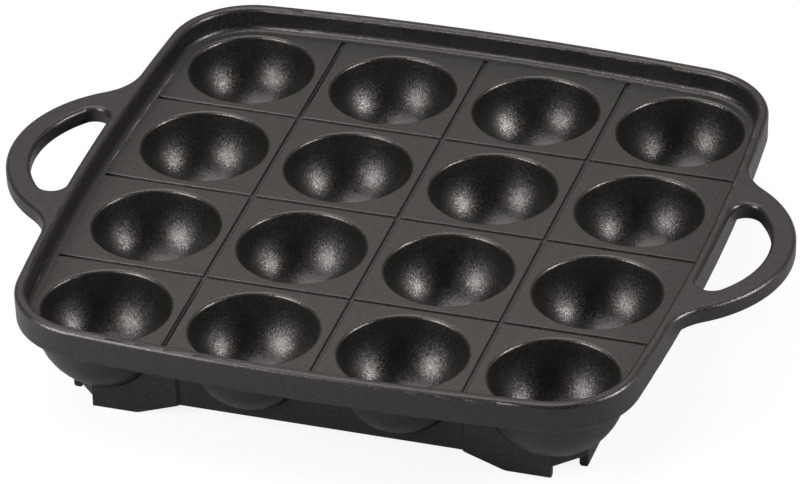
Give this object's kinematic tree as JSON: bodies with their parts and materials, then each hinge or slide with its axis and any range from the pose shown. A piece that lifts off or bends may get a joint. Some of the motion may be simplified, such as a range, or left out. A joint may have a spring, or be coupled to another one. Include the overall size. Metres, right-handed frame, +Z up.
{
  "type": "takoyaki maker",
  "caption": "Square cast plate with a grid of hemispherical cups, a raised rim, a loop handle on each side and a foot wall, for cooking batter balls over a gas burner.",
  "frame": {"origin": "middle of the plate in the plane of the feet's undersides", "axes": "+X towards the right-hand handle, +Y towards the back of the plate, +Z up out of the cups"},
  "size_m": [0.266, 0.2146, 0.0399],
  "materials": {
    "coated_deck": "satin dark grey non-stick coating with fine sparkle on die-cast aluminium",
    "coated_frame": "satin dark grey non-stick coating on die-cast aluminium, on the rim, handles and foot wall"
  },
  "bodies": {
    "root": {"cup_row1_col1": "coated_deck", "cup_row1_col2": "coated_deck", "cup_row1_col3": "coated_deck", "cup_row1_col4": "coated_deck", "cup_row2_col1": "coated_deck", "cup_row2_col2": "coated_deck", "cup_row2_col3": "coated_deck", "cup_row2_col4": "coated_deck", "cup_row3_col1": "coated_deck", "cup_row3_col2": "coated_deck", "cup_row3_col3": "coated_deck", "cup_row3_col4": "coated_deck", "cup_row4_col1": "coated_deck", "cup_row4_col2": "coated_deck", "cup_row4_col3": "coated_deck", "cup_row4_col4": "coated_deck", "rim_corner_front_left": "coated_frame", "rim_corner_front_right": "coated_frame", "rim_corner_back_left": "coated_frame", "rim_corner_back_right": "coated_frame", "rim_front": "coated_frame", "rim_back": "coated_frame", "handle_left": "coated_frame", "handle_right": "coated_frame", "foot_front_left": "coated_frame", "foot_front_right": "coated_frame", "foot_back_left": "coated_frame", "foot_back_right": "coated_frame", "skirt_front": "coated_frame", "skirt_back": "coated_frame", "skirt_left": "coated_frame", "skirt_right": "coated_frame"}
  },
  "joints": []
}
